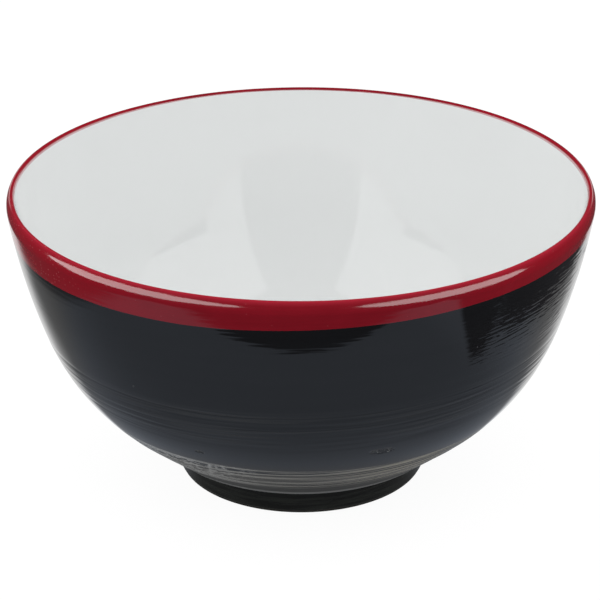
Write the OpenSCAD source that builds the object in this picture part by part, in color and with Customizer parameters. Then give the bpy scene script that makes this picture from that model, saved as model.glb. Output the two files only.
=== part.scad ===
// Footed salad bowl. A clay bowl of even wall stands on a separate clay foot ring,
// and five coats of glaze cover the two: white inside, red over the lip, black outside
// and on the foot, white in the recess under the base. Every coat lies on the clay it covers.
// The section runs without a break from the straight belly through the shoulder to the lip,
// and every layer keeps an even distance from the outside.

/* [Bowl] */
// Diameter across the lip
rim_d = 230; // [222:1:250]
// Height of the lip above the table
bowl_h = 119.8; // [112:0.1:128]
// Thickness of the finished wall, both coats of glaze included
wall_t = 3.8; // [3.4:0.1:5]
// Gap between the table and the lowest point of the rounded base
base_gap = 6.7; // [5:0.1:9]

/* [Outline] */
// Lean of the wall below the lip, in degrees from upright
lip_lean = 8.9; // [6:0.1:12]
// Radius of the nearly straight wall below the lip
wall_r = 262; // [230:1:310]
// Radius of the rounding outside the lip
lip_round_r = 7; // [5:0.1:9]
// Radius of the top of the lip
lip_r = 1.2; // [0.9:0.1:1.6]
// Radius of the round shoulder
shoulder_r = 88.5; // [80:0.5:98]
// Lean of the trimmed belly below the shoulder, in degrees from upright
belly_lean = 51.5; // [49:0.1:54]
// Distance that the lower edge of the belly stands out beyond the foot
ledge = 7.2; // [5.5:0.1:9]
// Rounding of the edge between the belly and the base
edge_r = 3; // [2:0.1:5]
// Radius of the shallow base
base_r = 275; // [240:1:340]
// Rounding between the wall and the floor inside
floor_round_r = 30; // [20:0.5:40]

/* [Foot ring] */
// Diameter across the finished foot
foot_d = 99.4; // [90:0.1:106]
// Width of the finished foot ring
foot_w = 6; // [5:0.1:9]
// Rounding of the two lower edges of the clay foot
foot_edge_r = 1.2; // [0.6:0.1:1.6]
// Radius of the glaze that pools between the foot and the base
cove_r = 2.5; // [1.5:0.1:3]
// Height of the clay left bare above the table
bare_h = 1.5; // [1:0.1:2.5]

/* [Glaze] */
// Thickness of each coat
glaze_t = 0.5; // [0.3:0.05:0.7]
// Drop from the lip to the lower edge of the red band, at the middle of the bowl
band_h = 11; // [9:0.1:14]
// Tilt of that edge, which was banded by hand and is lowest at the left
band_tilt = 1.6; // [0.5:0.1:2]
// Direction that the lip faces where red meets white, in degrees from straight up, inwards
white_turn = 48; // [20:1:70]

/* [Turned rings] */
// Spacing of the rings that the turning tool and the brush left outside
ring_pitch = 2.8; // [2:0.1:3.5]
// Depth of a ring
ring_depth = 0.12; // [0.05:0.01:0.2]
// Radius of the tool tip that cuts a ring
ring_tool_r = 1.5; // [1:0.1:2.5]
// Height of the lowest ring on the trimmed belly
belly_rings_z = 20; // [17:0.5:22]
// Number of rings on the trimmed belly
belly_rings_n = 7; // [1:1:7]
// Height of the lowest ring round the waist
waist_rings_z = 55; // [50:0.5:60]
// Number of rings round the waist
waist_rings_n = 5; // [1:1:6]
// Height of the lowest ring on the upper wall
upper_rings_z = 82; // [78:0.5:86]
// Number of rings on the upper wall
upper_rings_n = 6; // [1:1:6]

/* [Hidden] */
$fn = 360;

clay_colour = "#cdbfa6";
white_colour = "#e3e4e2";
red_colour = "#a01428";
black_colour = "#191b1f";

// Direction that the outside faces where the wall slopes at angle a from level.
// It turns on over the lip: 90 points outwards, 180 up and 270 inwards.
function facing(a) = [sin(a), -cos(a)];
function slope_of(v) = atan2(v[0], -v[1]);

rim_r = rim_d / 2;
lip_a = 90 - lip_lean;
belly_a = 90 - belly_lean;
foot_r = foot_d / 2;
foot_in_r = foot_r - foot_w;

// Each arc of the lip touches its neighbours: the wall, the rounding, the top and the inside of the wall.
// So the centres of wall, rounding and top form a triangle with known sides.
wall_to_round = wall_r - lip_round_r;
wall_to_top = wall_r - wall_t + lip_r;
round_to_top = lip_round_r - lip_r;
inner_a = lip_a + acos((wall_to_round ^ 2 + wall_to_top ^ 2 - round_to_top ^ 2)
                       / (2 * wall_to_round * wall_to_top));
lip_step = wall_to_top * facing(inner_a) - wall_to_round * facing(lip_a);
lip_round_c = [rim_r - lip_round_r, bowl_h - lip_r - lip_step[1]];
lip_c = lip_round_c + lip_step;
wall_c = lip_round_c - wall_to_round * facing(lip_a);

// Centre of the base, and the point where the belly meets it.
base_c = [0, base_gap + base_r];
belly_p = base_c + base_r * facing(asin((foot_r + ledge) / base_r));

// The line at a depth below the belly meets the circle of radius r about c at two points.
// Side -1 gives the lower one and side 1 the upper one.
function crossing(depth, c, r, side) =
    let (start = belly_p - depth * facing(belly_a),
         along = [cos(belly_a), sin(belly_a)],
         back = (start - c) * along)
    start + (side * sqrt(back ^ 2 + r ^ 2 - norm(start - c) ^ 2) - back) * along;

// The shoulder touches the belly and the wall.
shoulder_c = crossing(shoulder_r, wall_c, wall_r - shoulder_r, 1);
shoulder_a = slope_of(shoulder_c - wall_c);

// Centre of the round of radius r that touches the base and the belly, at a depth below the outside.
function round_c(r, depth) = crossing(depth + r, base_c, base_r - depth - r, -1);

// Slope of the outside at height z, and the point there.
belly_top = shoulder_c[1] - shoulder_r * cos(belly_a);
shoulder_top = shoulder_c[1] - shoulder_r * cos(shoulder_a);
function slope_at(z) =
    z < belly_top ? belly_a
    : z < shoulder_top ? acos((shoulder_c[1] - z) / shoulder_r)
    : acos((wall_c[1] - z) / wall_r);
function point_at(z) =
    z < belly_top ? belly_p + (z - belly_p[1]) * [1 / tan(belly_a), 1]
    : z < shoulder_top ? shoulder_c + shoulder_r * facing(slope_at(z))
    : wall_c + wall_r * facing(slope_at(z));

// The cove touches the foot and the base, so its centre lies on a line through the centre of the base.
cove_a = asin((foot_r + cove_r) / (base_r + cove_r));
cove_c = base_c + (base_r + cove_r) * facing(cove_a);

// A round stands this much proud of touching, so that its ends cross the faces beside it cleanly.
// The top of the lip, which touches another round, stands twice as proud.
SEAM = 0.002;

// Height of the lowest ring and the number of rings in each group.
RINGS = [[belly_rings_z, belly_rings_n], [waist_rings_z, waist_rings_n], [upper_rings_z, upper_rings_n]];

// Everything between the directions facing(a0) and facing(a1), seen from the origin.
module sector(a0, a1) {
    polygon([[0, 0], 2 * rim_d * facing(a0), 2 * rim_d * facing((a0 + a1) / 2), 2 * rim_d * facing(a1)]);
}

// What a round of radius r about c takes off a corner, between the directions facing(a0) and facing(a1).
module corner(c, r, a0, a1) {
    translate(c) difference() {
        polygon([[0, 0], 2 * r * facing(a0), 2 * r * facing(a1)]);
        circle(r + SEAM);
    }
}

// Everything on the inner side of the line at a depth below the belly.
module above_belly(depth) {
    translate(belly_p - depth * facing(belly_a)) rotate(belly_a) translate([-rim_d, 0])
        square([2 * rim_d, 2 * rim_d]);
}

// Everything inside the bowl's outline at a depth below the outside. Base and wall are two discs,
// and rounds take off the corners where the belly meets them: one of radius round_r, and the shoulder.
module filled(depth, round_r) {
    c = round_c(round_r, depth);
    difference() {
        intersection() {
            translate(base_c) circle(base_r - depth);
            translate(wall_c) circle(wall_r - depth);
            above_belly(depth);
            square([rim_d, 2 * bowl_h]);
        }
        corner(c, round_r, slope_of(c - base_c), belly_a);
        corner(shoulder_c, shoulder_r - depth, belly_a, shoulder_a);
    }
}
module outside(depth) filled(depth, edge_r - depth);
module inside(depth) filled(wall_t - depth, floor_round_r + depth);

// What the two arcs of the lip take off the wall, which would otherwise go on upwards.
module above_lip(depth) {
    translate(lip_round_c) difference() {
        sector(lip_a, slope_of(lip_step) + 20);
        circle(lip_round_r - depth + SEAM);
    }
    translate(lip_c) difference() {
        sector(slope_of(lip_step), inner_a + 180);
        circle(lip_r - depth + 2 * SEAM);
    }
}

// Section of the bowl with a depth taken off all its faces.
module wall(depth) {
    difference() {
        outside(depth);
        inside(depth);
        above_lip(depth);
    }
}

// Section of all the glaze on the bowl.
module coats() {
    difference() {
        wall(0);
        wall(glaze_t);
    }
}

// Everything inside a line within the clay, up to the place on the lip where red meets white.
// It parts the coat inside from the ones outside.
module inner_side() {
    difference() {
        inside(lip_r);
        translate(lip_c) sector(inner_a, 180 + white_turn);
    }
}

// Everything below the base, as far out as the coat of the foot reaches.
module under_base() {
    polygon([base_c, base_c + 2 * base_r * facing(cove_a), [0, -base_r]]);
}

// Everything above the lower edge of the red band.
module above_band_edge() {
    translate([0, 0, bowl_h - band_h]) rotate([0, -band_tilt, 0])
        translate([-rim_d, -rim_d, 0]) cube([2 * rim_d, 2 * rim_d, bowl_h]);
}

// Section of the turning tool at every ring.
module ring_tools() {
    for (group = RINGS, i = [0:group[1] - 1]) {
        z = group[0] + i * ring_pitch;
        translate(point_at(z) + (ring_tool_r - ring_depth) * facing(slope_at(z))) circle(ring_tool_r);
    }
}

module clay_bowl() {
    color(clay_colour) rotate_extrude() wall(glaze_t);
}

module clay_foot_ring() {
    in_r = foot_in_r + glaze_t;
    out_r = foot_r - glaze_t;
    color(clay_colour) rotate_extrude() difference() {
        union() {
            translate([in_r, foot_edge_r]) square([out_r - in_r, base_gap + wall_t]);
            translate([in_r + foot_edge_r, 0]) square([out_r - in_r - 2 * foot_edge_r, 2 * foot_edge_r]);
            for (r = [in_r + foot_edge_r, out_r - foot_edge_r])
                translate([r, foot_edge_r]) circle(foot_edge_r);
        }
        outside(glaze_t);
    }
}

module white_inner_glaze() {
    color(white_colour) rotate_extrude() intersection() {
        coats();
        inner_side();
    }
}

module red_rim_glaze() {
    color(red_colour) intersection() {
        rotate_extrude() difference() {
            coats();
            inner_side();
            under_base();
        }
        above_band_edge();
    }
}

module black_outer_glaze() {
    color(black_colour) difference() {
        rotate_extrude() difference() {
            coats();
            inner_side();
            under_base();
            ring_tools();
        }
        above_band_edge();
    }
}

// The coat thickens into a cove where it pools under the base.
module black_foot_glaze() {
    color(black_colour) rotate_extrude() difference() {
        polygon([[foot_r - glaze_t, bare_h], [foot_r, bare_h], [foot_r, cove_c[1]], cove_c,
                 cove_c - (cove_r + wall_t) * facing(cove_a), [foot_r - glaze_t, cove_c[1] + wall_t]]);
        translate(cove_c) circle(cove_r + SEAM);
        outside(glaze_t);
    }
}

module white_base_glaze() {
    color(white_colour) rotate_extrude() difference() {
        translate([0, bare_h]) square([foot_in_r + glaze_t, base_gap + wall_t]);
        outside(glaze_t);
        difference() {
            square([foot_in_r, base_gap + wall_t]);
            outside(0);
        }
    }
}

clay_bowl();
clay_foot_ring();
white_inner_glaze();
red_rim_glaze();
black_outer_glaze();
black_foot_glaze();
white_base_glaze();
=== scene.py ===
# %% [markdown]
# # A footed salad bowl in three glazes
#
# The bowl was turned on a wheel, set on a foot ring and glazed by hand: white inside, red over the
# lip, black outside. Its CAD model gives the sizes. This lesson makes each coat of glaze again as a
# surface that shows the turning tool, the brush and the kiln, and then lights the bowl as in a small
# studio. All lengths are in metres, in the frame of the CAD model, so every piece falls into place.

# %% Load the CAD model
import math

import bpy
import numpy as np
from mathutils import Matrix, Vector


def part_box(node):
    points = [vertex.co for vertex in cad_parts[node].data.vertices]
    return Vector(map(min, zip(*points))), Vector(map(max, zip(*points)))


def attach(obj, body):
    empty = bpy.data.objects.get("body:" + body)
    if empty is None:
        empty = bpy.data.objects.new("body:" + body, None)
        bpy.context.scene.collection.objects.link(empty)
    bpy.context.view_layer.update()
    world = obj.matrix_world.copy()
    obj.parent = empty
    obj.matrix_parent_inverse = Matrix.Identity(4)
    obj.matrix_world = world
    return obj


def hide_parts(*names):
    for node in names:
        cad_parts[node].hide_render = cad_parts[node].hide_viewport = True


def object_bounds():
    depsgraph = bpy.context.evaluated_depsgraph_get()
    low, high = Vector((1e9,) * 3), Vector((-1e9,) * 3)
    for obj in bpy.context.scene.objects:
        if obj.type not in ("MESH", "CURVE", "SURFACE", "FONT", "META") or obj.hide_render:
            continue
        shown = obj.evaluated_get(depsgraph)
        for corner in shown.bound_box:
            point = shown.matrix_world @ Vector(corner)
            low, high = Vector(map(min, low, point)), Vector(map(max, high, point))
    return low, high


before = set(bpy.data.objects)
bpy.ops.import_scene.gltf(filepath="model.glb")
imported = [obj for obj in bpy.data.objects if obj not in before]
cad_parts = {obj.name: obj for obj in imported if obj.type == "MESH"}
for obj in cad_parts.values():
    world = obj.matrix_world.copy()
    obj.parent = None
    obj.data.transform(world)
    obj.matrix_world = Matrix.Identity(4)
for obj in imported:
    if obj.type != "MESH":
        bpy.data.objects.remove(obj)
cad_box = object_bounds()
print("CAD nodes:", sorted(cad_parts))

# %% [markdown]
# ## What the CAD model tells us
#
# The boxes of the nodes give most sizes: the rim, the height, the thickness of a coat and the two ends
# of the tilted edge between red and black. The radii of the section can't be read from a box, so they
# are written down here with the names that the CAD source gives them.

# %% Measure the bowl
MM = 0.001
clay_low, clay_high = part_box("clay_bowl")
rim_r = cad_box[1].x
bowl_h = cad_box[1].z
glaze_t = bowl_h - clay_high.z
base_gap = clay_low.z - glaze_t
foot_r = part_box("clay_foot_ring")[1].x + glaze_t
bare_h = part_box("black_foot_glaze")[0].z
band_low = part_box("red_rim_glaze")[0].z
band_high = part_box("black_outer_glaze")[1].z

wall_t = 3.8 * MM
wall_r = 262 * MM
lip_round_r = 7 * MM
lip_r = 1.2 * MM
shoulder_r = 88.5 * MM
edge_r = 3 * MM
base_r = 275 * MM
floor_round_r = 30 * MM
ledge = 7.2 * MM
foot_w = 6 * MM
foot_edge_r = 1.2 * MM
cove_r = 2.5 * MM
lip_lean = 8.9
belly_lean = 51.5
white_turn = 48
print(f"rim {2 * rim_r / MM:.1f} mm, height {bowl_h / MM:.1f} mm, glaze {glaze_t / MM:.2f} mm")

# %% [markdown]
# ## The section
#
# A turned bowl is one outline spun about an axis. Ours starts at the foot, climbs the outside, goes over
# the lip and runs down the inside to the middle of the floor. It could be drawn as a Bézier curve, but
# the CAD section is a chain of arcs that touch, and arcs with the same radii repeat it exactly. The
# points lie very close together, so that no facet shows in the gloss.

# %% Trace the outline
STEP = 0.05 * MM


def facing(slope):
    """Direction that the surface faces where the section slopes at this angle from level."""
    a = math.radians(slope)
    return np.array([math.sin(a), -math.cos(a)])


def slope_of(v):
    return math.degrees(math.atan2(v[0], -v[1]))


def arc(centre, radius, start, end):
    count = 2 + int(abs(radius * math.radians(end - start)) / STEP)
    return [centre + radius * facing(a) for a in np.linspace(start, end, count)]


lip_a = 90 - lip_lean
belly_a = 90 - belly_lean
wall_to_round = wall_r - lip_round_r
wall_to_top = wall_r - wall_t + lip_r
round_to_top = lip_round_r - lip_r
inner_a = lip_a + math.degrees(math.acos((wall_to_round ** 2 + wall_to_top ** 2 - round_to_top ** 2)
                                         / (2 * wall_to_round * wall_to_top)))
lip_step = wall_to_top * facing(inner_a) - wall_to_round * facing(lip_a)
lip_round_c = np.array([rim_r - lip_round_r, bowl_h - lip_r - lip_step[1]])
lip_c = lip_round_c + lip_step
wall_c = lip_round_c - wall_to_round * facing(lip_a)
base_c = np.array([0, base_gap + base_r])
belly_p = base_c + base_r * facing(math.degrees(math.asin((foot_r + ledge) / base_r)))


def crossing(depth, centre, radius, side):
    """Where the line at a depth below the belly meets a circle, lower down (-1) or higher up (1)."""
    start = belly_p - depth * facing(belly_a)
    along = facing(belly_a + 90)
    back = (start - centre) @ along
    half_chord = math.sqrt(back ** 2 + radius ** 2 - (start - centre) @ (start - centre))
    return start + (side * half_chord - back) * along


shoulder_c = crossing(shoulder_r, wall_c, wall_r - shoulder_r, 1)
shoulder_a = slope_of(shoulder_c - wall_c)
edge_c = crossing(edge_r, base_c, base_r - edge_r, -1)
floor_c = crossing(wall_t + floor_round_r, base_c, base_r - wall_t - floor_round_r, -1)
cove_a = math.degrees(math.asin((foot_r + cove_r) / (base_r + cove_r)))
cove_c = base_c + (base_r + cove_r) * facing(cove_a)

outside = (arc(base_c, base_r, cove_a, slope_of(edge_c - base_c))
           + arc(edge_c, edge_r, slope_of(edge_c - base_c), belly_a)
           + arc(shoulder_c, shoulder_r, belly_a, shoulder_a)
           + arc(wall_c, wall_r, shoulder_a, lip_a))
lip = (arc(lip_round_c, lip_round_r, lip_a, slope_of(lip_step))
       + arc(lip_c, lip_r, slope_of(lip_step), inner_a + 180))
inside = (arc(wall_c, wall_r - wall_t, inner_a, shoulder_a)
          + arc(shoulder_c, shoulder_r - wall_t, shoulder_a, belly_a)
          + arc(floor_c, floor_round_r, belly_a, slope_of(floor_c - base_c))
          + arc(base_c, base_r - wall_t, slope_of(floor_c - base_c), 0))


def without_doubles(points):
    kept = [points[0]]
    for p in points[1:]:
        if np.hypot(*(p - kept[-1])) > STEP / 50:
            kept.append(p)
    return kept


outline = without_doubles(outside + lip + inside)
travel = np.concatenate([[0], np.cumsum(np.hypot(*np.diff(np.array(outline), axis=0).T))])
print(f"outline: {len(outline)} points, {travel[-1] / MM:.1f} mm "
      "from the foot to the middle of the floor")

# %% [markdown]
# ## Where the coats meet
#
# Black meets red on the outside, and red meets white on top of the lip, just past its crest. A place on
# the outline is a distance along it, so each coat is a stretch between two distances. The edge of the
# red band was painted freehand on the wheel: it is lower at the left, which is a tilt of its height
# with x.

# %% Find the meeting places
heights = np.array([p[1] for p in outline])
top = int(np.argmax(heights))
band_at = np.interp([band_low, band_high], heights[:top], travel[:top])
band_mid = band_at.mean()
band_swing = (band_at[1] - band_at[0]) / 2
band_slope = (band_high - band_low) / (2 * rim_r)
white_start = lip_c + lip_r * facing(180 + white_turn)
lip_line = travel[np.argmin([np.hypot(*(p - white_start)) for p in outline])]
print(f"red band from {band_mid / MM:.1f} mm to {lip_line / MM:.1f} mm along the outline, "
      f"its edge swings by {band_swing / MM:.1f} mm")

# %% [markdown]
# ## A short way to write nodes
#
# A formula made of nodes is hard to read when each node takes four lines. Wire stands for one socket:
# sums and products of wires add Math nodes, and Wire.new adds any other node from its type, its
# settings and what goes into its sockets. The same class serves Geometry Nodes and shaders.

# %% Wires
class Wire:
    """One socket of a node tree, which can be used in sums with numbers and other wires."""

    def __init__(self, tree, socket):
        self.tree = tree
        self.socket = socket

    @staticmethod
    def new(tree, kind, settings=None, inputs=None, out=0):
        made = tree.nodes.new(kind)
        for name, value in (settings or {}).items():
            setattr(made, name, value)
        for name, value in (inputs or {}).items():
            if isinstance(value, Wire):
                tree.links.new(value.socket, made.inputs[name])
            else:
                made.inputs[name].default_value = value
        return Wire(tree, made.outputs[out])

    def also(self, out):
        """Another output of the same node."""
        return Wire(self.tree, self.socket.node.outputs[out])

    def math(self, operation, *others, first=None):
        values = [self if first is None else first, *others]
        return Wire.new(self.tree, "ShaderNodeMath", {"operation": operation}, dict(enumerate(values)))

    def __add__(self, other):
        return self.math("ADD", other)

    def __radd__(self, other):
        return self.math("ADD", self, first=other)

    def __sub__(self, other):
        return self.math("SUBTRACT", other)

    def __rsub__(self, other):
        return self.math("SUBTRACT", self, first=other)

    def __mul__(self, other):
        return self.math("MULTIPLY", other)

    def __rmul__(self, other):
        return self.math("MULTIPLY", self, first=other)

    def __truediv__(self, other):
        return self.math("DIVIDE", other)

    def ramp(self, low, high):
        """Rises smoothly from 0 at low to 1 at high, or falls where high is the smaller."""
        return Wire.new(self.tree, "ShaderNodeMapRange", {"interpolation_type": "SMOOTHSTEP"},
                        {"Value": self, "From Min": low, "From Max": high})

    def between(self, low, high, soft):
        """1 between low and high, with soft ends outside them."""
        return self.ramp(low - soft, low) * self.ramp(high + soft, high)


def vector(x, y, z):
    tree = next(w.tree for w in (x, y, z) if isinstance(w, Wire))
    return Wire.new(tree, "ShaderNodeCombineXYZ", {}, {"X": x, "Y": y, "Z": z})


def noise(place, scale=1, detail=2, roughness=0.5):
    return Wire.new(place.tree, "ShaderNodeTexNoise", {},
                    {"Vector": place, "Scale": scale, "Detail": detail, "Roughness": roughness})


# %% [markdown]
# ## The tree that turns a coat
#
# A coat of glaze is a thin skin on a stretch of the outline, all the way round. A Screw modifier would
# spin the outline, but then both ends of the stretch would be level rings. Here a flat grid is bent into
# the coat instead: its columns go round, and its rows climb the front of the skin and come back down
# behind it. Each point asks the outline for the place at its own distance, so an edge may tilt and
# waver, and the rings that the turning tool left become real relief. The outline comes in as the
# object's mesh. Two functions start and finish such a tree, and a third takes a place apart.

# %% Helpers for the trees
MERGE_DISTANCE = 2e-6
SHARP_ANGLE = 0.7


def start_tree(name, sizes):
    tree = bpy.data.node_groups.new(name, "GeometryNodeTree")
    tree.interface.new_socket("Outline", in_out="INPUT", socket_type="NodeSocketGeometry")
    for label, kind in sizes.items():
        tree.interface.new_socket(label, in_out="INPUT", socket_type="NodeSocket" + kind)
    tree.interface.new_socket("Mesh", in_out="OUTPUT", socket_type="NodeSocketGeometry")
    group = tree.nodes.new("NodeGroupInput")
    return tree, {s.name: Wire(tree, s) for s in group.outputs if s.name}


def finish_tree(tree, grid, place, material):
    """Moves the grid, closes its seams and its pole, and makes its rims sharp."""
    shape = Wire.new(tree, "GeometryNodeSetPosition", {}, {"Geometry": grid, "Position": place})
    shape = Wire.new(tree, "GeometryNodeMergeByDistance", {},
                     {"Geometry": shape, "Distance": MERGE_DISTANCE})
    faces = Wire.new(tree, "GeometryNodeInputMeshEdgeNeighbors")
    shape = Wire.new(tree, "GeometryNodeDeleteGeometry", {"domain": "EDGE"},
                     {"Geometry": shape, "Selection": faces.math("LESS_THAN", 0.5)})
    shape = Wire.new(tree, "GeometryNodeSetShadeSmooth", {"domain": "FACE"},
                     {0: shape, "Shade Smooth": True})
    fold = Wire.new(tree, "GeometryNodeInputMeshEdgeAngle").math("GREATER_THAN", SHARP_ANGLE)
    shape = Wire.new(tree, "GeometryNodeSetShadeSmooth", {"domain": "EDGE"},
                     {0: shape, "Selection": fold, "Shade Smooth": False})
    shape = Wire.new(tree, "GeometryNodeRealizeInstances", {}, {0: shape})
    shape = Wire.new(tree, "GeometryNodeSetMaterial", {}, {"Geometry": shape, "Material": material})
    end = tree.nodes.new("NodeGroupOutput")
    tree.links.new(shape.socket, end.inputs[0])


def separate(wire):
    x = Wire.new(wire.tree, "ShaderNodeSeparateXYZ", {}, {"Vector": wire})
    return x, x.also("Y"), x.also("Z")


# %% [markdown]
# ## Bending the grid
#
# An edge of a coat has five sizes: its distance along the outline, its swing from one side of the bowl
# to the other, the oval that takes it further along at both sides, how much it wavers, and the seed of
# the waver. The rows share out the stretch between the two edges, and the outline's tangent tells which
# way is inwards.

# %% Bend the grid
EDGE_PARTS = ("", " Swing", " Oval", " Waver", " Seed")
coat_tree, given = start_tree("turned coat", {
    "Rows": "Int", "Back Rows": "Int", "Columns": "Int", "Thickness": "Float",
    **{end + part: "Float" for end in ("Start", "End") for part in EDGE_PARTS},
    "Slope": "Float", "Ring Depth": "Float", "Ring Pitch": "Float",
    "Waist Low": "Float", "Waist High": "Float", "Trim Height": "Float", "Material": "Material"})
rows, back = given["Rows"], given["Back Rows"]
grid = Wire.new(coat_tree, "GeometryNodeMeshGrid", {}, {
    "Size X": 1, "Size Y": 1, "Vertices X": given["Columns"] + 1, "Vertices Y": rows + back + 3})
u, v, _ = separate(Wire.new(coat_tree, "GeometryNodeInputPosition"))
turn = (u + 0.5) * (2 * math.pi)
across, away = turn.math("COSINE"), turn.math("SINE")
row = ((v + 0.5) * (rows + back + 2)).math("ROUND")
front = row.math("LESS_THAN", rows + 0.5)
hidden = (1 - front) * row.math("LESS_THAN", rows + back + 1.5)
share = front * (row / rows) + (1 - front) * ((rows + back + 1 - row) / back).math("MAXIMUM", 0)


def coat_edge(name):
    waver = noise(vector(across * 2.2, away * 2.2, given[name + " Seed"]), detail=3) - 0.5
    tilted = given[name] + given[name + " Swing"] * across
    return tilted + given[name + " Oval"] * across * across + given[name + " Waver"] * waver


first, last = coat_edge("Start"), coat_edge("End")
curve = Wire.new(coat_tree, "GeometryNodeMeshToCurve", {}, {0: given["Outline"]})
sample = Wire.new(coat_tree, "GeometryNodeSampleCurve", {"mode": "LENGTH", "use_all_curves": True},
                  {"Curves": curve, "Length": first + (last - first) * share}, "Position")
radius, _, height = separate(sample)
lead_r, _, lead_z = separate(sample.also("Tangent"))
print("grid of a coat:", len(coat_tree.nodes), "nodes")

# %% [markdown]
# ## Marks of tool and brush
#
# All marks run round the bowl, so each is a noise or a groove that depends mostly on the height. Long
# ridges, shorter scrapes and short dashes have their own share in each zone: the waist, the trimmed
# belly, the wall from just under the red band upwards, and the combed patch at the right. The clearance
# sets the coat back, to make room for the marks that stand out.

# %% Add the marks
TRIM_FROM = (19 * MM, 22 * MM)
BANDED_FROM = (84 * MM, 94 * MM)
COMBED_SIDE = (0.48, 0.64)
COMBED_HEIGHTS = (76 * MM, 104 * MM, 5 * MM)
# Height and depth of single grooves, the depth in steps of twice the ring depth.
TRIM_GROOVES = ((36 * MM, 2.0), (28.8 * MM, 1.0), (24.5 * MM, 2.0))
WAIST_GROOVES = ((57.5 * MM, 0.6), (61 * MM, 0.4), (64.5 * MM, 0.7), (69 * MM, 1.2))


def marks(spread, squeeze, **texture):
    """Level marks about 0: more spread makes them shorter, and more squeeze makes them finer."""
    place = vector(across * spread, away * spread, level / given["Ring Pitch"] * squeeze)
    return noise(place, **texture) - 0.5


def groove_depth(measure, grooves, width):
    return sum((measure - up).math("ABSOLUTE").ramp(width, 0) * deep for up, deep in grooves)


level = height - radius * across * given["Slope"]
trim = given["Trim Height"]
waist = level.between(given["Waist Low"], given["Waist High"], 3 * MM)
banded = level.ramp(*BANDED_FROM)
combed = across.ramp(*COMBED_SIDE) * away.ramp(0.2, 0.0) * level.between(*COMBED_HEIGHTS)
trimmed = height.ramp(trim + 0.5 * MM, trim - 0.5 * MM) * height.ramp(*TRIM_FROM)
grooves = groove_depth(height, TRIM_GROOVES, 0.9 * MM) + groove_depth(level, WAIST_GROOVES, 0.7 * MM)
ridges = marks(1.5, 1.0, detail=3, roughness=0.6) * (0.3 + banded * 1.2 + waist * 9 + trimmed * 4)
scrapes = marks(3, 1.9, detail=1) * (waist * 6 + trimmed * 5)
dashes = marks(20, 2.0, detail=1) * (banded * 0.9 + combed * 8.5)
clearance = 1.6 + waist * 2 + trimmed + combed * 2
relief = given["Ring Depth"] * (ridges + scrapes + dashes + grooves * 2 + clearance)
inwards = hidden * given["Thickness"] + (1 - hidden) * relief
coat_r = radius - inwards * lead_z
finish_tree(coat_tree, grid, vector(coat_r * across, coat_r * away, height + inwards * lead_r),
            given["Material"])
print("coat tree:", len(coat_tree.nodes), "nodes")

# %% [markdown]
# ## The tree that turns a ring
#
# The foot ring, the glaze on it and the glaze under the base have closed sections. Their tree is the
# plain case of the first one: the rows of the grid go once round the section, and the columns round
# the axis.

# %% Build the tree of a ring
ring_tree, ring_given = start_tree("turned ring", {
    "Rows": "Int", "Columns": "Int", "Material": "Material"})
ring_grid = Wire.new(ring_tree, "GeometryNodeMeshGrid", {}, {
    "Size X": 1, "Size Y": 1,
    "Vertices X": ring_given["Columns"] + 1, "Vertices Y": ring_given["Rows"] + 1})
ring_u, ring_v, _ = separate(Wire.new(ring_tree, "GeometryNodeInputPosition"))
ring_turn = (ring_u + 0.5) * (2 * math.pi)
ring_curve = Wire.new(ring_tree, "GeometryNodeMeshToCurve", {}, {0: ring_given["Outline"]})
ring_sample = Wire.new(ring_tree, "GeometryNodeSampleCurve", {"mode": "FACTOR", "use_all_curves": True},
                       {"Curves": ring_curve, "Factor": ring_v + 0.5}, "Position")
ring_r, _, ring_z = separate(ring_sample)
ring_place = vector(ring_r * ring_turn.math("COSINE"), ring_r * ring_turn.math("SINE"), ring_z)
finish_tree(ring_tree, ring_grid, ring_place, ring_given["Material"])
print("ring tree:", len(ring_tree.nodes), "nodes")

# %% [markdown]
# ## Starting a glaze
#
# Every finish reads Object coordinates, which are metres in the CAD frame. The painter's strokes are not
# quite level, so most patterns use a height that is tilted like the edge of the red band. Marks of the
# brush are a noise that is squeezed in height and left long round the bowl.

# %% Helpers for the finishes
def start_finish(name):
    material = bpy.data.materials.new(name)
    material.use_nodes = True
    material.node_tree.nodes.clear()
    place = Wire.new(material.node_tree, "ShaderNodeTexCoord", out="Object")
    return material, place


def end_finish(material, sockets):
    shader = Wire.new(material.node_tree, "ShaderNodeBsdfPrincipled", {}, sockets)
    end = material.node_tree.nodes.new("ShaderNodeOutputMaterial")
    material.node_tree.links.new(shader.socket, end.inputs["Surface"])


def blend(share, colour, other):
    """A colour that goes from the first to the second as share goes from 0 to 1."""
    return Wire.new(share.tree, "ShaderNodeMix", {"data_type": "RGBA"}, {
        0: share,
        6: colour if isinstance(colour, Wire) else (*colour, 1),
        7: other if isinstance(other, Wire) else (*other, 1)}, 2)


def strokes(place, length, pitch, detail=3):
    """Marks that run round the bowl: about this long and this far apart in height, from 0 to 1."""
    x, y, z = separate(place)
    tilted = z - x * band_slope
    return noise(vector(x / length, y / length, tilted / pitch), detail=detail, roughness=0.6)


def specks(place, size, spacing, share):
    """Small round spots, 1 in their middle. Share is the part of the cells that has one."""
    cell = Wire.new(place.tree, "ShaderNodeTexVoronoi", {},
                    {"Vector": place, "Scale": 1 / spacing}, "Distance")
    chance, _, _ = separate(cell.also("Color"))
    return cell.ramp(size / spacing, 0.3 * size / spacing) * chance.math("LESS_THAN", share)


def bumps(place, height, distance):
    return Wire.new(place.tree, "ShaderNodeBump", {},
                    {"Strength": 1, "Distance": distance, "Height": height})
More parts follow.
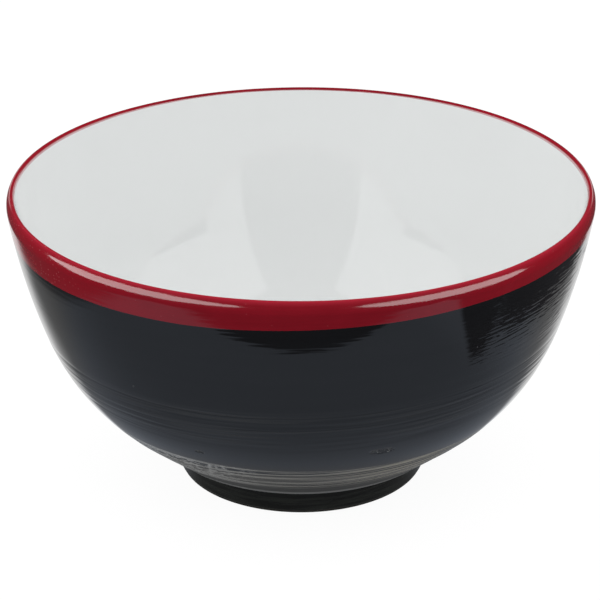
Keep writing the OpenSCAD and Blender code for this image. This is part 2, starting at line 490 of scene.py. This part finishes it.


# %% [markdown]
# ## Black glaze
#
# The outside is a thick, glossy black. The brush left fine level lines: faint ones nearly everywhere,
# stronger ones round the waist, and a patch at the right that looks combed. A few pinholes opened in the
# kiln, and in two places the glaze crawled; the pits and the crawled patches get painted glints, light
# specks in the colour. The stronger lines are relief in the mesh, and bumps add those too fine for it.
# First come the zones and the marks, as numbers from 0 to 1.

# %% Zones and marks of the black glaze
STRIP_TOP = (20 * MM, 22 * MM)
WAIST_LINES = (56 * MM, 69 * MM, 3 * MM)
COMBED_X = (52 * MM, 72 * MM)
COMBED_Z = (74 * MM, 82 * MM)
# Middle in x and z, half the length and half the height of each oval in which the glaze crawled.
FLAWS = (((29.7 * MM, 47.9 * MM), 5.4 * MM, 1.8 * MM),
         ((-38.1 * MM, 45.1 * MM), 2.2 * MM, 0.9 * MM))
trim_height = 38 * MM


def flaw(place, middle, length, height):
    """A place where the glaze crawled: 1 in the middle of an oval on the front of the bowl."""
    x, y, z = separate(place)
    along, up = (x - middle[0]) / length, (z - middle[1]) / height
    return (along * along + up * up).ramp(1.0, 0.2) * y.math("LESS_THAN", 0)


black_glaze, place = start_finish("black_glaze")
x, y, z = separate(place)
tilted = z - x * band_slope
thin = z.ramp(trim_height + 0.5 * MM, trim_height - 0.5 * MM)
lined = thin * z.ramp(*STRIP_TOP)
waist_lines = tilted.between(*WAIST_LINES)
combed = x.ramp(*COMBED_X) * y.ramp(20 * MM, 0.0) * tilted.ramp(*COMBED_Z)
brush = strokes(place, 40 * MM, 0.9 * MM, 2)
dashes = strokes(place, 5 * MM, 1.0 * MM, 1)
peel = noise(place, 500, 1)
pits = specks(place, 0.45 * MM, 9 * MM, 0.12)
crawl = sum(flaw(place, *oval) for oval in FLAWS) * noise(place, 700).ramp(0.38, 0.5)
# Painted glints: light grey specks in the colour of the crawled patches, standing in for highlights.
painted_glints = crawl * noise(vector(x + 1, y, z), 1300, 1).ramp(0.66, 0.71)
print("zones and marks:", len(black_glaze.node_tree.nodes), "nodes")

# %% [markdown]
# ## Where the black is thin
#
# The trimmed belly above the foot has a thinner coat, through which the clay shows in streaks, and it is
# scuffed at the left. Between it and the foot a strip is smooth and dull, with a painted highlight along
# its lower edge.

# %% Colours of the black glaze
DEEP_BLACK, SOFT_BLACK = (0.0045, 0.0050, 0.0060), (0.0075, 0.0080, 0.0092)
RING_AND_SHEEN_GREY = (0.020, 0.020, 0.020)
LEFT_CLAY, MIDDLE_CLAY, RIGHT_CLAY = (0.50, 0.495, 0.47), (0.29, 0.28, 0.25), (0.38, 0.35, 0.27)
THIN_BLACK = (0.010, 0.010, 0.010)
SCUFFS = (0.54, 0.535, 0.515)
DARK_STRIP, PALE_STRIP = (0.030, 0.031, 0.032), (0.075, 0.075, 0.073)
PAINTED_EDGE_HIGHLIGHT = (0.34, 0.34, 0.335)
PAINTED_GLINT_GREY = (0.45, 0.45, 0.44)

body = blend(strokes(place, 60 * MM, 4 * MM), DEEP_BLACK, SOFT_BLACK)
# Lighter ring lines round the waist: partly glaze thinned over the ridges, partly painted sheen of the
# ridges.
ring_lines_and_sheen = waist_lines * strokes(place, 80 * MM, 0.8 * MM, 2).ramp(0.50, 0.62)
ringed = blend(ring_lines_and_sheen, body, RING_AND_SHEEN_GREY)
bare = blend(x.ramp(-45 * MM, -5 * MM), LEFT_CLAY, MIDDLE_CLAY)
bare = blend(x.ramp(5 * MM, 45 * MM), bare, RIGHT_CLAY)
worn = blend(strokes(place, 90 * MM, 1.1 * MM, 2).ramp(0.45, 0.56), THIN_BLACK, bare)
scuffed = noise(vector(x, y, z * 2.5), 420, 3).ramp(0.48, 0.60) * x.ramp(-12 * MM, -35 * MM)
worn = blend(scuffed * 0.8, worn, SCUFFS)
smooth = blend(strokes(place, 60 * MM, 1.2 * MM, 2).ramp(0.35, 0.65), DARK_STRIP, PALE_STRIP)
# Painted highlight: a light line along the lower edge of the strip, where its rounded edge catches the
# light.
smooth = blend(z.ramp(15.6 * MM, 14.8 * MM), smooth, PAINTED_EDGE_HIGHLIGHT)
worn = blend(lined, smooth, worn)
lines = brush * (0.15 + waist_lines * 0.9 + lined * 2) + dashes * combed * 4
end_finish(black_glaze, {
    # The pits and the crawled patches are lightened towards a grey as painted glints; the pits are also
    # real dents in the bump.
    "Base Color": blend(painted_glints * 0.9 + pits * 0.3, blend(thin, ringed, worn), PAINTED_GLINT_GREY),
    "Roughness": 0.03 + lined * 0.17 + (thin - lined) * 0.42 + brush * 0.02 + crawl * 0.4,
    "IOR": 1.5,
    "Normal": bumps(place, lines + peel * 0.15 - pits * 2 - crawl * 18, 0.02 * MM)})
print("black glaze:", len(black_glaze.node_tree.nodes), "nodes")

# %% [markdown]
# ## Red glaze
#
# The band over the lip is an opaque red, brushed on while the bowl turned. The brush left it a little
# cloudy. Painted light makes it brighter at both sides and over the crest at the front. Small bubbles
# left pits in it, which get painted glints, painted sparkle specks lie at the left, and just inside the
# lip it thins to pink where it runs onto the white.

# %% Red glaze
DEEP_RED, CLOUDY_RED = (0.165, 0.0030, 0.0078), (0.270, 0.0056, 0.0160)
SIDE_LIT_RED, CREST_LIT_RED = (0.30, 0.0045, 0.0140), (0.36, 0.0150, 0.0310)
PINK, PIT_GLINT_RED = (0.64, 0.44, 0.455), (0.55, 0.16, 0.17)

red_glaze, place = start_finish("red_glaze")
x, y, z = separate(place)
crest_r = float(outline[top][0])
from_axis = (x * x + y * y).math("SQRT")
brush = strokes(place, 40 * MM, 1.2 * MM)
cloudy = noise(place, 90, 3)
pits = specks(place, 0.35 * MM, 2.2 * MM, 0.25)
# Painted glints: light specks at the left, drawn in the colour.
painted_sparkle = specks(place, 0.35 * MM, 1.1 * MM, 0.3)
painted_sparkle = painted_sparkle * x.ramp(-75 * MM, -95 * MM) * y.ramp(20 * MM, -20 * MM)
# Painted light: the band is brighter at both sides, where the side lamps fall on it.
painted_side_light = x.math("ABSOLUTE").ramp(45 * MM, 85 * MM)
# Painted light: the crest at the front is brighter, where light from above falls on it.
painted_crest_light = (from_axis.ramp(crest_r + 2.0 * MM, crest_r + 0.2 * MM)
         * z.ramp(bowl_h - 2.0 * MM, bowl_h - 0.8 * MM) * y.ramp(0.0, -60 * MM))
fading = from_axis.ramp(crest_r, crest_r - 0.3 * MM) * z.ramp(bowl_h - 0.5 * MM, bowl_h - 1.2 * MM)
body = blend(brush * 0.5 + cloudy * 0.5, DEEP_RED, CLOUDY_RED)
body = blend(painted_side_light * 0.6, body, SIDE_LIT_RED)
body = blend(painted_crest_light * 0.75, body, CREST_LIT_RED)
body = blend(fading * (0.5 + cloudy * 0.5), body, PINK)
ripples = strokes(place, 12 * MM, 1.6 * MM, 2) * 0.5 + noise(place, 900) * 0.2
end_finish(red_glaze, {
    # The pits and the specks at the left are lightened in the colour as painted glints; the pits are also
    # real dents in the bump.
    "Base Color": blend(pits * 0.15 + painted_sparkle * 0.5, body, PIT_GLINT_RED),
    "Roughness": 0.09 + brush * 0.03,
    "IOR": 1.5,
    "Normal": bumps(place, ripples - pits * 0.8, 0.02 * MM)})
print("red glaze:", len(red_glaze.node_tree.nodes), "nodes")

# %% [markdown]
# ## White glaze
#
# Inside, the glaze is a cool white with a soft gloss, clouded so slightly that it shows only in
# reflections. The same glaze fills the recess under the base.

# %% White glaze
white_glaze, place = start_finish("white_glaze")
clouds = noise(place, 22, 3)
body = blend(clouds, (0.706, 0.719, 0.713), (0.724, 0.737, 0.731))
end_finish(white_glaze, {
    "Base Color": body,
    "Roughness": 0.04 + clouds * 0.03,
    "IOR": 1.5,
    "Normal": bumps(place, noise(place, 160, 1), 0.01 * MM)})
print("white glaze:", len(white_glaze.node_tree.nodes), "nodes")

# %% [markdown]
# ## Black glaze on the foot, and bare clay
#
# The foot was dipped, so its glaze is duller, with faint streaks. The ring it stands on was wiped clean
# before firing and shows buff clay with a fine grain, stained dark where the black glaze ends.

# %% Foot glaze and clay
black_foot_glaze, place = start_finish("black_foot_glaze")
streaks = strokes(place, 20 * MM, 1.5 * MM)
end_finish(black_foot_glaze, {
    "Base Color": blend(streaks.ramp(0.35, 0.75), (0.0048, 0.0053, 0.0054), (0.0170, 0.0190, 0.0165)),
    "Roughness": 0.16 + streaks * 0.12,
    "IOR": 1.5,
    "Specular IOR Level": 0.3,
    "Normal": bumps(place, streaks, 0.02 * MM)})

clay, place = start_finish("clay")
x, y, _ = separate(place)
grain = noise(place, 1800, 3)
stain = (x * x + y * y).math("SQRT").ramp(foot_r - 2.6 * MM, foot_r - 1.4 * MM)
body = blend(grain, (0.26, 0.23, 0.18), (0.46, 0.41, 0.33))
stained = blend(grain, (0.014, 0.014, 0.012), (0.040, 0.038, 0.032))
end_finish(clay, {
    "Base Color": blend(stain, body, stained),
    "Roughness": 0.75 + grain * 0.2,
    "Normal": bumps(place, grain, 0.08 * MM)})
print("finishes:", [m.name for m in (black_glaze, red_glaze, white_glaze, black_foot_glaze, clay)])

# %% [markdown]
# ## From a tree to a mesh
#
# A piece starts as a mesh that holds only its section. The modifier gets its sizes by the identifiers of
# the tree's sockets, because names need not be unique. Then the finished shape is copied into a plain
# mesh and the modifier goes, so that the export meets nothing live. A closed mesh that points inwards
# has a negative volume, and such a mesh is turned round.

# %% Turn a piece
def signed_volume(mesh):
    mesh.calc_loop_triangles()
    corner = np.array([v.co for v in mesh.vertices])
    a, b, c = (corner[[t.vertices[i] for t in mesh.loop_triangles]] for i in range(3))
    return float(np.einsum("ij,ij->i", a, np.cross(b, c)).sum() / 6)


def turn_piece(name, section, closed, tree, sizes, node):
    """Turns a section into a piece that takes the place of a CAD node."""
    mesh = bpy.data.meshes.new(name)
    edges = [(i, i + 1) for i in range(len(section) - 1)]
    if closed:
        edges.append((len(section) - 1, 0))
    mesh.from_pydata([(p[0], 0, p[1]) for p in section], edges, [])
    piece = bpy.data.objects.new(name, mesh)
    bpy.context.scene.collection.objects.link(piece)
    turning = piece.modifiers.new("turning", "NODES")
    turning.node_group = tree
    for item in tree.interface.items_tree:
        if item.in_out == "INPUT" and item.name in sizes:
            turning[item.identifier] = sizes[item.name]
    depsgraph = bpy.context.evaluated_depsgraph_get()
    turned = bpy.data.meshes.new_from_object(piece.evaluated_get(depsgraph))
    piece.modifiers.clear()
    piece.data = turned
    if signed_volume(turned) < 0:
        turned.flip_normals()
    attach(piece, "root")
    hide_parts(node)
    print(f"{name}: {len(turned.loop_triangles)} triangles, {signed_volume(turned) * 1e6:.2f} cm3")
    return piece


# %% [markdown]
# ## The three coats on the bowl
#
# Black, red and white are three stretches of one outline. Neighbours get the same edge, with the same
# seed for its waver, so they meet without a gap. Black and red show the rings of the tool, and black
# gets the most rows.

# %% Turn the coats
COAT = {"Columns": 360, "Thickness": glaze_t, "Slope": band_slope,
        "Ring Pitch": 1.7 * MM, "Ring Depth": 0.03 * MM,
        "Waist Low": 53 * MM, "Waist High": 69 * MM, "Trim Height": trim_height}
BAND_EDGE = {"place": band_mid, "swing": band_swing, "waver": 0.9 * MM, "seed": 3.0}
LIP_EDGE = {"place": lip_line + 0.65 * MM, "oval": 0.8 * MM, "waver": 0.3 * MM, "seed": 11.0}


def edge(end, place, swing=0.0, oval=0.0, waver=0.0, seed=0.0):
    """The five sizes of one edge, under the names of the tree's sockets."""
    return {end + part: size for part, size in zip(EDGE_PARTS, (place, swing, oval, waver, seed))}


black_sizes = COAT | {"Rows": 390, "Back Rows": 12, "Columns": 240, "Material": black_glaze}
red_sizes = COAT | {"Rows": 170, "Back Rows": 24, "Material": red_glaze}
white_sizes = COAT | {"Rows": 150, "Back Rows": 24, "Ring Depth": 0.0, "Material": white_glaze}
black_coat = turn_piece("black_coat", outline, False, coat_tree,
                        black_sizes | edge("Start", 0.0) | edge("End", **BAND_EDGE),
                        "black_outer_glaze")
red_coat = turn_piece("red_coat", outline, False, coat_tree,
                      red_sizes | edge("Start", **BAND_EDGE) | edge("End", **LIP_EDGE),
                      "red_rim_glaze")
white_coat = turn_piece("white_coat", outline, False, coat_tree,
                        white_sizes | edge("Start", **LIP_EDGE) | edge("End", float(travel[-1])),
                        "white_inner_glaze")

# %% [markdown]
# ## The foot
#
# The clay ring has two rounded lower edges. Its black glaze stops a little above the table and pools
# in a small cove under the base, and the white glaze inside runs from the wall of the ring across the
# base.

# %% Turn the foot
def on_base(depth, radius):
    """The point of the base at a depth below its surface, at this distance from the axis."""
    return base_c + (base_r - depth) * facing(math.degrees(math.asin(radius / (base_r - depth))))


clay_out = foot_r - glaze_t
clay_in = foot_r - foot_w + glaze_t
recess_r = foot_r - foot_w
bevel_w, bevel_h = 0.2 * MM, 0.3 * MM
ring_section = without_doubles(
    arc(np.array([clay_in + foot_edge_r, foot_edge_r]), foot_edge_r, 270, 360)
    + arc(np.array([clay_out - foot_edge_r, foot_edge_r]), foot_edge_r, 0, 90)
    + [on_base(glaze_t, clay_out), on_base(glaze_t, clay_in)])
glaze_section = without_doubles(
    [np.array(p) for p in
     ((clay_out, bare_h), (foot_r - bevel_w, bare_h), (foot_r, bare_h + bevel_h))]
    + arc(cove_c, cove_r, -90, cove_a - 180)
    + [on_base(glaze_t, cove_c[0]), on_base(glaze_t, clay_out)])
base_section = without_doubles(
    [np.array([0, base_gap])] + arc(base_c, base_r, 0, math.degrees(math.asin(recess_r / base_r)))
    + [np.array(p) for p in
       ((recess_r, bare_h + bevel_h), (recess_r + bevel_w, bare_h), (clay_in, bare_h))]
    + arc(base_c, base_r - glaze_t, math.degrees(math.asin(clay_in / (base_r - glaze_t))), 0))
RING = {"Columns": 300}
turn_piece("foot_clay", ring_section, True, ring_tree,
           RING | {"Rows": 160, "Material": clay}, "clay_foot_ring")
foot_coat = turn_piece("foot_coat", glaze_section, True, ring_tree,
                       RING | {"Rows": 180, "Material": black_foot_glaze},
                       "black_foot_glaze")
turn_piece("base_coat", base_section, True, ring_tree,
           RING | {"Rows": 300, "Material": white_glaze}, "white_base_glaze")

# %% [markdown]
# ## The clay of the bowl
#
# The coats hide the clay bowl everywhere, and its CAD shape is right, so it only gets the clay finish.

# %% Finish the clay
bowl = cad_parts["clay_bowl"]
bowl.data.materials.clear()
bowl.data.materials.append(clay)
print("clay bowl:", len(bowl.data.polygons), "faces from the CAD model")

# %% [markdown]
# ## The camera
#
# The camera stands about a metre away and looks down at the bowl through a long lens. Distance, height
# and tilt come from the ellipses of lip, band and foot in the photograph, and so does a roll of a
# quarter of a degree.

# %% Place the camera
LOOK_DOWN = 24.063
ROLL = -0.2525
lens = bpy.data.cameras.new("camera")
lens.sensor_width = 36
lens.lens = 156
camera = bpy.data.objects.new("camera", lens)
camera.location = (-0.00054, -0.94716, 0.49278)
tilt = Matrix.Rotation(math.radians(90 - LOOK_DOWN), 3, "X")
camera.rotation_euler = (tilt @ Matrix.Rotation(math.radians(ROLL), 3, "Z")).to_euler()
bpy.context.scene.collection.objects.link(camera)
bpy.context.scene.camera = camera
print("camera:", tuple(round(c, 4) for c in camera.location))

# %% [markdown]
# ## The table
#
# The bowl stands on a white table that ends not far in front of it, and the glaze mirrors that edge as
# dark patches under the red band. For the camera the table is plain white and keeps a faint shadow. In
# reflections it is a pale, cool surface that ends at its own edges, with the dark room beyond them.

# %% Lay the table
TABLE_REACH = 4.0
corners = [(x * TABLE_REACH, y * TABLE_REACH, 0) for x, y in ((-1, -1), (1, -1), (1, 1), (-1, 1))]
mesh = bpy.data.meshes.new("table")
mesh.from_pydata(corners, [], [(0, 1, 2, 3)])
table = bpy.data.objects.new("table", mesh)
bpy.context.scene.collection.objects.link(table)
print("table:", 2 * TABLE_REACH, "m square")

# %% [markdown]
# ## What the glaze sees of the table
#
# The front edge bows out at the right. The right edge runs aslant as far as a corner, and in front of
# that corner the table goes on to the right, with a wedge of dark in it. Towards the back the table is
# much brighter, and in front of the foot it lies in the bowl's shade.

# %% Mirror the table
FRONT_EDGE, FRONT_BOW = -0.197, 0.6
LEFT_EDGE = (-0.230, -0.205)
RIGHT_EDGE, RIGHT_SLANT, RIGHT_LIMIT = 0.194, 0.24, 0.209
CORNER_Y = (-0.0735, -0.0775)
CORNER_STEP = 0.3
GAP_TIP = (0.141, -0.090)
SHARP = (-0.002, 0.002)
ROOM_DARK = (0.070, 0.066, 0.070)
NEUTRAL, COOL = (1.0, 1.0, 1.0), (0.90, 0.99, 1.15)

table_finish, place = start_finish("table")
tree = table_finish.node_tree
x, y, _ = separate(place)
off_middle = x.math("ABSOLUTE")
right_side = x.math("MAXIMUM", 0)
past_corner = y.ramp(*CORNER_Y)
front_edge = FRONT_EDGE - right_side * right_side * FRONT_BOW
right_edge = (y * RIGHT_SLANT + RIGHT_EDGE).math("MINIMUM", RIGHT_LIMIT) + past_corner * CORNER_STEP
lit = (y - front_edge).ramp(*SHARP) * (right_edge - x).ramp(*SHARP) * x.ramp(*LEFT_EDGE)
gap_x, gap_y = x - GAP_TIP[0], y - GAP_TIP[1]
gap = ((gap_x * 0.786 + gap_y * 0.618).ramp(-0.003, 0.005)
       * (gap_x * 0.844 - gap_y * 0.537).ramp(-0.001, 0.002) * past_corner)
round_back = y + (0.18 - off_middle) * y.ramp(-0.02, 0.03) * 1.45
near_foot = (x * x + y * y).math("SQRT").ramp(0.085, 0.06) * y.ramp(0.0, -0.03)
middle = y.ramp(-0.14, -0.09) * off_middle.ramp(0.09, 0.05)
level = 0.29 + middle * 0.05 + x.ramp(0.13, 0.17) * 0.07 + y.ramp(-0.06, -0.19) * 0.12
level = (level + round_back.ramp(0.045, 0.175) * 0.95) * (1 - near_foot * 0.35)
cool = y.ramp(0.04, -0.04) * (1 - near_foot)
bright = blend(level, (0, 0, 0), blend(cool, NEUTRAL, COOL))
mirrored = Wire.new(tree, "ShaderNodeEmission", {}, {
    "Color": blend(lit * (1 - gap), ROOM_DARK, bright), "Strength": 1})
seen = Wire.new(tree, "ShaderNodeAddShader", {}, {
    0: Wire.new(tree, "ShaderNodeEmission", {}, {"Color": (1, 1, 1, 1), "Strength": 0.94}),
    1: Wire.new(tree, "ShaderNodeBsdfDiffuse", {}, {"Color": (0.08, 0.08, 0.08, 1)})})
plain = Wire.new(tree, "ShaderNodeBsdfDiffuse", {}, {"Color": (0.26, 0.27, 0.28, 1)})
path = Wire.new(tree, "ShaderNodeLightPath", out="Is Camera Ray")
reflected = path.also("Is Glossy Ray").math("MAXIMUM", path.also("Is Transmission Ray"))
surface = Wire.new(tree, "ShaderNodeMixShader", {}, {0: reflected, 1: plain, 2: mirrored})
surface = Wire.new(tree, "ShaderNodeMixShader", {}, {0: path, 1: surface, 2: seen})
end = tree.nodes.new("ShaderNodeOutputMaterial")
tree.links.new(surface.socket, end.inputs["Surface"])
mesh.materials.append(table_finish)
print("table finish:", len(tree.nodes), "nodes")

# %% [markdown]
# ## Lamps
#
# A glaze shows what it mirrors, so each lamp is kept to the coats that should mirror it. Two wide, low
# softboxes beside the camera draw the bright streaks on the red lip, and only the dark coats see them.
# Two tall panels with higher wings give the white inside its upright sheens, and only the white coat
# sees them. Two fills only light.

# %% Set the lamps
def softbox(name, size, location, target, radiance, seen_by, roll=0):
    """A soft lamp of even brightness. Pieces that see it only mirror it; seen by none, it only lights."""
    data = bpy.data.lights.new(name, "AREA")
    data.shape = "ELLIPSE" if size[0] > size[1] else "RECTANGLE"
    data.size, data.size_y = size
    area = size[0] * size[1] * (math.pi / 4 if data.shape == "ELLIPSE" else 1)
    data.energy = radiance * math.pi * area
    lamp = bpy.data.objects.new(name, data)
    lamp.location = location
    aim = np.array(target) - np.array(location)
    lamp.rotation_euler = (Matrix.Rotation(math.atan2(aim[1], aim[0]) - math.pi / 2, 3, "Z")
                           @ Matrix.Rotation(math.atan2(math.hypot(aim[0], aim[1]), -aim[2]), 3, "X")
                           @ Matrix.Rotation(math.radians(roll), 3, "Z")).to_euler()
    lamp.visible_glossy = bool(seen_by)
    lamp.visible_diffuse = not seen_by
    if seen_by:
        lamp.light_linking.receiver_collection = bpy.data.collections.new(name)
        for piece in seen_by:
            lamp.light_linking.receiver_collection.objects.link(piece)
    bpy.context.scene.collection.objects.link(lamp)


def round_the_bowl(turn, distance, along, height):
    """A place on an upright plane that faces the bowl. Turn is in degrees, right of the camera."""
    a = math.radians(turn)
    x = distance * math.sin(a) + along * math.cos(a)
    y = along * math.sin(a) - distance * math.cos(a)
    return (x, y, height)


dark_coats = [black_coat, red_coat, foot_coat]
LAMP_DISTANCE = 0.9
# Name, turn, place along the plane, size, height, roll, brightness and the coats that see the lamp.
LAMPS = (("left softbox", -65, 0.085, (1.57, 0.42), 0.22, 6, 5.4, dark_coats),
         ("right softbox", 57, -0.10, (1.20, 0.42), 0.215, -5, 5.2, dark_coats),
         ("left panel", -57, 0.28, (0.44, 1.78), 1.01, 0, 1.2, [white_coat]),
         ("right panel", 57, -0.32, (0.36, 1.78), 1.01, 0, 1.2, [white_coat]),
         ("left wing", -57, -0.47, (1.06, 1.46), 1.17, 0, 1.2, [white_coat]),
         ("right wing", 57, 0.43, (1.14, 1.46), 1.17, 0, 1.2, [white_coat]))
for name, turn, along, size, height, roll, radiance, seen_by in LAMPS:
    softbox(name, size, round_the_bowl(turn, LAMP_DISTANCE, along, height),
            round_the_bowl(turn, 0, along, height), radiance, seen_by, roll)
softbox("left fill", (1.2, 0.8), (-1.1, -0.6, 0.8), (0, 0, 0.1), 0.8, [])
softbox("right fill", (1.2, 0.8), (1.1, -0.6, 0.8), (0, 0, 0.1), 0.4, [])

# %% [markdown]
# ## The room
#
# The world is white for the camera. Matt surfaces see a soft dome that is brighter above and at both
# sides, and mirrors see a dark room with a bright strip low behind the bowl at each side.

# %% Set the world
world = bpy.data.worlds.new("studio")
world.use_nodes = True
tree = world.node_tree
tree.nodes.clear()
path = Wire.new(tree, "ShaderNodeLightPath", out="Is Camera Ray")
direction = Wire.new(tree, "ShaderNodeTexCoord", out="Generated")
aside, ahead, up = separate(direction)
sideways = aside.math("ABSOLUTE")
behind = ahead.ramp(0.1, 0.5) * sideways.between(0.30, 0.45, 0.15) * up.ramp(0.30, 0.12)
room = blend(behind, (0.05, 0.05, 0.052), (1.4, 1.4, 1.4))
low = blend(sideways.ramp(0.2, 0.9), (0.78, 0.78, 0.79), (0.96, 0.96, 0.97))
dome = blend(up.ramp(-0.1, 1.0), low, (1.43, 1.43, 1.44))
ambient = blend(path.also("Is Glossy Ray"), dome, room)
sky = blend(path.math("MAXIMUM", path.also("Is Transmission Ray")), ambient, (1.0, 1.0, 1.0))
background = Wire.new(tree, "ShaderNodeBackground", {}, {"Color": sky, "Strength": 1})
end = tree.nodes.new("ShaderNodeOutputWorld")
tree.links.new(background.socket, end.inputs["Surface"])
bpy.context.scene.world = world
bpy.context.scene.view_settings.view_transform = "Standard"
print("world:", len(tree.nodes), "nodes")
